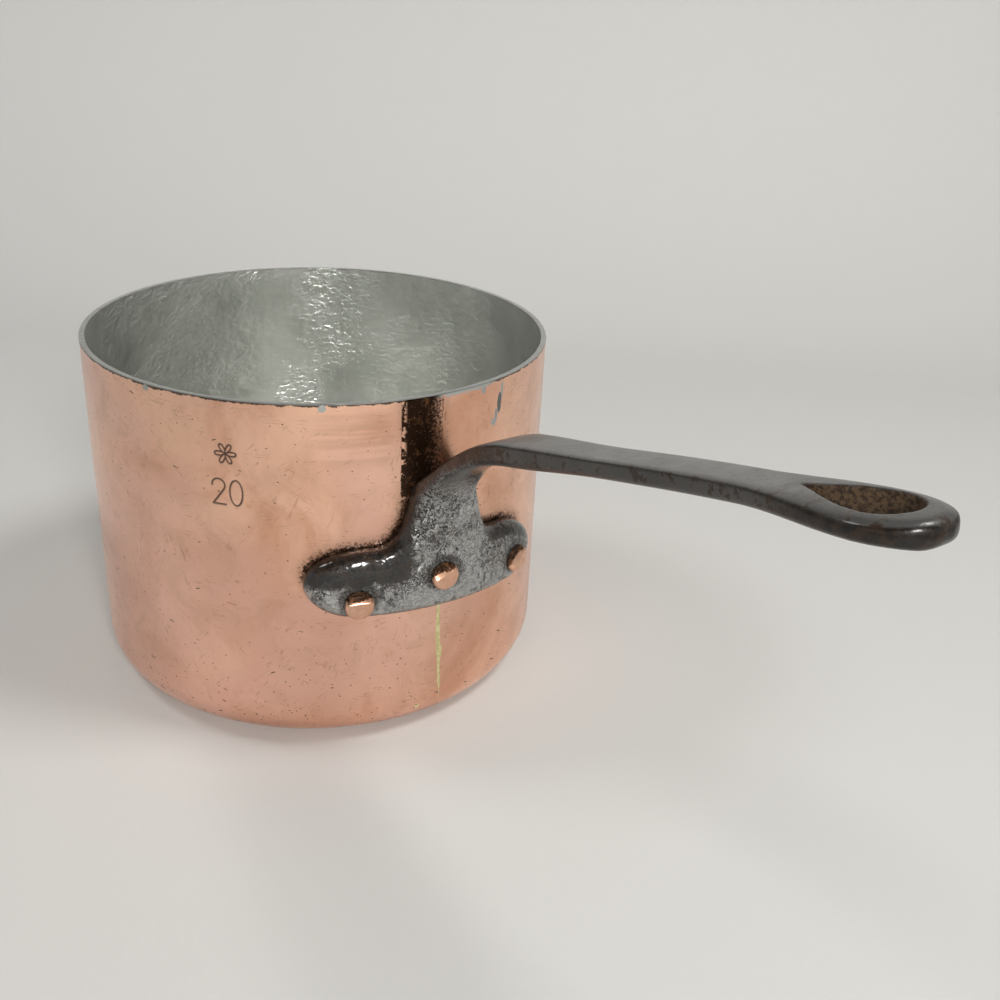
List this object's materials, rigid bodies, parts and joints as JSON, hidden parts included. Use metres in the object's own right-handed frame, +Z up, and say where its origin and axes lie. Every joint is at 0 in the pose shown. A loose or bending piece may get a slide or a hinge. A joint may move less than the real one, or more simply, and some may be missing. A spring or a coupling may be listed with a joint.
{
  "type": "saucepan",
  "caption": "Straight-sided deep copper saucepan, tinned inside, with a riveted iron handle that rises to a loop with a hanging eye.",
  "frame": {"origin": "centre of the flat underside", "axes": "+Z up through the rim, +X along the handle"},
  "size_m": [0.4089, 0.2, 0.1908],
  "materials": {
    "copper": "hand-polished copper with fine scratches, small dents and pits",
    "brass": "brazing brass polished flush with the copper",
    "tin": "hand-wiped tin, satin and slightly rippled",
    "iron": "pitted casting at the foot, rubbed smooth along the bar",
    "rivet_copper": "hammered copper"
  },
  "bodies": {
    "root": {"copper_wall": "copper", "copper_base": "copper", "side_seam": "brass", "base_seam": "brass", "tin_lining": "tin", "iron_handle": "iron", "rivet_left": "rivet_copper", "rivet_middle": "rivet_copper", "rivet_right": "rivet_copper"}
  },
  "joints": []
}
